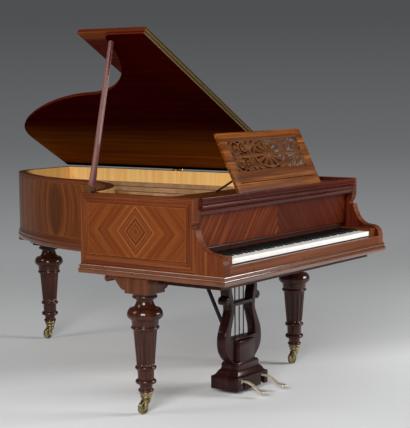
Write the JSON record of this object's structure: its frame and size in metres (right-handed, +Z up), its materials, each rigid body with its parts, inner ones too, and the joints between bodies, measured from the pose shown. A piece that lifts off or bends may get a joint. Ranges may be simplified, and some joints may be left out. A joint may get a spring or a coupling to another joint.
{
  "type": "grand piano",
  "caption": "Historic grand piano with an inlaid veneered case, raised lid with folded front flap, fretwork music desk, fluted legs on brass casters and a pedal lyre.",
  "frame": {"origin": "middle of the floor under the whole piano, its raised lid included", "axes": "+Z up, +Y from the keyboard to the tail, +X from the cheek to the straight spine side"},
  "size_m": [1.4378, 2.15, 1.7424],
  "materials": {
    "veneer": "polished red-brown veneer with matched figure",
    "dark_wood": "polished dark mahogany",
    "carved_wood": "polished carved mahogany",
    "inner_veneer": "satin golden veneer",
    "pine": "plain sawn wood",
    "spruce": "satin straight-grained soundboard",
    "desk_wood": "polished lighter walnut",
    "prop_wood": "worn polished wood",
    "iron": "bronze lacquered casting",
    "string_steel": "drawn wire",
    "brass": "polished brass",
    "ivory": "warm white key covering",
    "ebony": "satin black",
    "felt": "dark felt"
  },
  "bodies": {
    "case": {"cheek_left": "veneer", "spine_side": "veneer", "tail_board": "veneer", "bentside": "veneer", "key_block_left": "veneer", "key_block_right": "veneer", "keyslip": "veneer", "front_rail": "veneer", "music_shelf": "veneer", "base_moulding": "dark_wood", "nameboard_strip": "dark_wood", "leg_left": "carved_wood", "leg_right": "carved_wood", "leg_rear": "carved_wood", "lyre_frame": "carved_wood", "lyre_brace": "carved_wood", "rim_liner": "inner_veneer", "bottom_frame": "pine", "keybed": "pine", "wrest_plank": "pine", "soundboard": "spruce", "bridge": "spruce", "iron_frame": "iron", "strings": "string_steel", "lid_hinge_front": "brass", "lid_hinge_rear": "brass", "prop_bracket": "brass", "caster_cup_left": "brass", "caster_cup_right": "brass", "caster_cup_rear": "brass", "hammer_rail": "felt"},
    "naturals_1": {"naturals_1": "ivory"},
    "naturals_2": {"naturals_2": "ivory"},
    "naturals_3": {"naturals_3": "ivory"},
    "naturals_4": {"naturals_4": "ivory"},
    "naturals_5": {"naturals_5": "ivory"},
    "naturals_6": {"naturals_6": "ivory"},
    "sharps_1": {"sharps_1": "ebony"},
    "sharps_2": {"sharps_2": "ebony"},
    "sharps_3": {"sharps_3": "ebony"},
    "sharps_4": {"sharps_4": "ebony"},
    "sharps_5": {"sharps_5": "ebony"},
    "sharps_6": {"sharps_6": "ebony"},
    "fallboard": {"fallboard": "veneer"},
    "music_desk": {"music_desk": "desk_wood"},
    "desk_strut": {"desk_strut": "dark_wood"},
    "lid": {"lid": "dark_wood"},
    "lid_flap": {"lid_flap": "dark_wood"},
    "lid_prop": {"lid_prop": "prop_wood"},
    "short_prop": {"short_prop": "prop_wood"},
    "pedal_left": {"pedal_left": "brass"},
    "pedal_right": {"pedal_right": "brass"},
    "dampers": {"dampers": "felt"},
    "caster_fork_left": {"caster_fork_left": "brass"},
    "caster_wheel_left": {"caster_wheel_left": "brass"},
    "caster_fork_right": {"caster_fork_right": "brass"},
    "caster_wheel_right": {"caster_wheel_right": "brass"},
    "caster_fork_rear": {"caster_fork_rear": "brass"},
    "caster_wheel_rear": {"caster_wheel_rear": "brass"}
  },
  "joints": [
    {"name": "naturals_1_press", "type": "hinge", "parent": "case", "child": "naturals_1", "pos_m": [0, -0.825, 0.712], "axis": [1, 0, 0], "range_deg": [0, 2.7], "stiffness_Nm_per_rad": 6, "springref_deg": -11.46},
    {"name": "sharps_1_press", "type": "hinge", "parent": "case", "child": "sharps_1", "pos_m": [0, -0.825, 0.712], "axis": [1, 0, 0], "range_deg": [0, 2.7], "stiffness_Nm_per_rad": 6, "springref_deg": -11.46},
    {"name": "naturals_2_press", "type": "hinge", "parent": "case", "child": "naturals_2", "pos_m": [0, -0.825, 0.712], "axis": [1, 0, 0], "range_deg": [0, 2.7], "stiffness_Nm_per_rad": 6, "springref_deg": -11.46},
    {"name": "sharps_2_press", "type": "hinge", "parent": "case", "child": "sharps_2", "pos_m": [0, -0.825, 0.712], "axis": [1, 0, 0], "range_deg": [0, 2.7], "stiffness_Nm_per_rad": 6, "springref_deg": -11.46},
    {"name": "naturals_3_press", "type": "hinge", "parent": "case", "child": "naturals_3", "pos_m": [0, -0.825, 0.712], "axis": [1, 0, 0], "range_deg": [0, 2.7], "stiffness_Nm_per_rad": 6, "springref_deg": -11.46},
    {"name": "sharps_3_press", "type": "hinge", "parent": "case", "child": "sharps_3", "pos_m": [0, -0.825, 0.712], "axis": [1, 0, 0], "range_deg": [0, 2.7], "stiffness_Nm_per_rad": 6, "springref_deg": -11.46},
    {"name": "naturals_4_press", "type": "hinge", "parent": "case", "child": "naturals_4", "pos_m": [0, -0.825, 0.712], "axis": [1, 0, 0], "range_deg": [0, 2.7], "stiffness_Nm_per_rad": 6, "springref_deg": -11.46},
    {"name": "sharps_4_press", "type": "hinge", "parent": "case", "child": "sharps_4", "pos_m": [0, -0.825, 0.712], "axis": [1, 0, 0], "range_deg": [0, 2.7], "stiffness_Nm_per_rad": 6, "springref_deg": -11.46},
    {"name": "naturals_5_press", "type": "hinge", "parent": "case", "child": "naturals_5", "pos_m": [0, -0.825, 0.712], "axis": [1, 0, 0], "range_deg": [0, 2.7], "stiffness_Nm_per_rad": 6, "springref_deg": -11.46},
    {"name": "sharps_5_press", "type": "hinge", "parent": "case", "child": "sharps_5", "pos_m": [0, -0.825, 0.712], "axis": [1, 0, 0], "range_deg": [0, 2.7], "stiffness_Nm_per_rad": 6, "springref_deg": -11.46},
    {"name": "naturals_6_press", "type": "hinge", "parent": "case", "child": "naturals_6", "pos_m": [0, -0.825, 0.712], "axis": [1, 0, 0], "range_deg": [0, 2.7], "stiffness_Nm_per_rad": 6, "springref_deg": -11.46},
    {"name": "sharps_6_press", "type": "hinge", "parent": "case", "child": "sharps_6", "pos_m": [0, -0.825, 0.712], "axis": [1, 0, 0], "range_deg": [0, 2.7], "stiffness_Nm_per_rad": 6, "springref_deg": -11.46},
    {"name": "fallboard_hinge", "type": "hinge", "parent": "case", "child": "fallboard", "pos_m": [0, -0.875, 0.7698], "axis": [1, 0, 0], "range_deg": [0, 90]},
    {"name": "desk_hinge", "type": "hinge", "parent": "case", "child": "music_desk", "pos_m": [0, -0.899, 0.9806], "axis": [1, 0, 0], "range_deg": [-64, 0]},
    {"name": "strut_hinge", "type": "hinge", "parent": "music_desk", "child": "desk_strut", "pos_m": [-0.25691, -0.85876, 1.07223], "axis": [1, 0, 0], "range_deg": [0, 94.3]},
    {"name": "lid_hinge", "type": "hinge", "parent": "case", "child": "lid", "pos_m": [0.70509, 0, 0.999], "axis": [0, 1, 0], "range_deg": [0, 25]},
    {"name": "flap_hinge", "type": "hinge", "parent": "lid", "child": "lid_flap", "pos_m": [-0.5104, -0.505, 1.72172], "axis": [0.866, 0, -0.5], "range_deg": [0, 110]},
    {"name": "prop_hinge", "type": "hinge", "parent": "case", "child": "lid_prop", "pos_m": [-0.68791, -0.318, 1.0125], "axis": [0.9582, 0, -0.286], "range_deg": [0, 92]},
    {"name": "short_prop_hinge", "type": "hinge", "parent": "lid_prop", "child": "short_prop", "pos_m": [-0.53106, -0.28898, 1.53811], "axis": [0.9582, 0, -0.286], "range_deg": [-100, 0]},
    {"name": "pedal_left_press", "type": "hinge", "parent": "case", "child": "pedal_left", "pos_m": [-0.10691, -0.619, 0.069], "axis": [1, 0, 0], "range_deg": [0, 3.6], "stiffness_Nm_per_rad": 20, "springref_deg": -11.46},
    {"name": "pedal_right_press", "type": "hinge", "parent": "case", "child": "pedal_right", "pos_m": [0.06309, -0.619, 0.069], "axis": [1, 0, 0], "range_deg": [0, 3.6], "stiffness_Nm_per_rad": 20, "springref_deg": -11.46},
    {"name": "dampers_lift", "type": "slide", "parent": "case", "child": "dampers", "axis": [0, 0, 1], "range_m": [0, 0.006]},
    {"name": "caster_swivel_left", "type": "hinge", "parent": "case", "child": "caster_fork_left", "pos_m": [-0.63691, -0.578, 0.065], "axis": [0, 0, 1], "continuous": true},
    {"name": "caster_roll_left", "type": "hinge", "parent": "caster_fork_left", "child": "caster_wheel_left", "pos_m": [-0.65891, -0.578, 0.02974], "axis": [0, 1, 0], "continuous": true},
    {"name": "caster_swivel_right", "type": "hinge", "parent": "case", "child": "caster_fork_right", "pos_m": [0.62909, -0.578, 0.065], "axis": [0, 0, 1], "continuous": true},
    {"name": "caster_roll_right", "type": "hinge", "parent": "caster_fork_right", "child": "caster_wheel_right", "pos_m": [0.60709, -0.578, 0.02974], "axis": [0, 1, 0], "continuous": true},
    {"name": "caster_swivel_rear", "type": "hinge", "parent": "case", "child": "caster_fork_rear", "pos_m": [0.41609, 0.98, 0.065], "axis": [0, 0, 1], "continuous": true},
    {"name": "caster_roll_rear", "type": "hinge", "parent": "caster_fork_rear", "child": "caster_wheel_rear", "pos_m": [0.39409, 0.98, 0.02974], "axis": [0, 1, 0], "continuous": true}
  ],
  "couplings": [
    {"joint": "strut_hinge", "follows": "desk_hinge", "ratio": -1.4712},
    {"joint": "dampers_lift", "follows": "pedal_right_press", "m_per_rad": 0.0955}
  ]
}
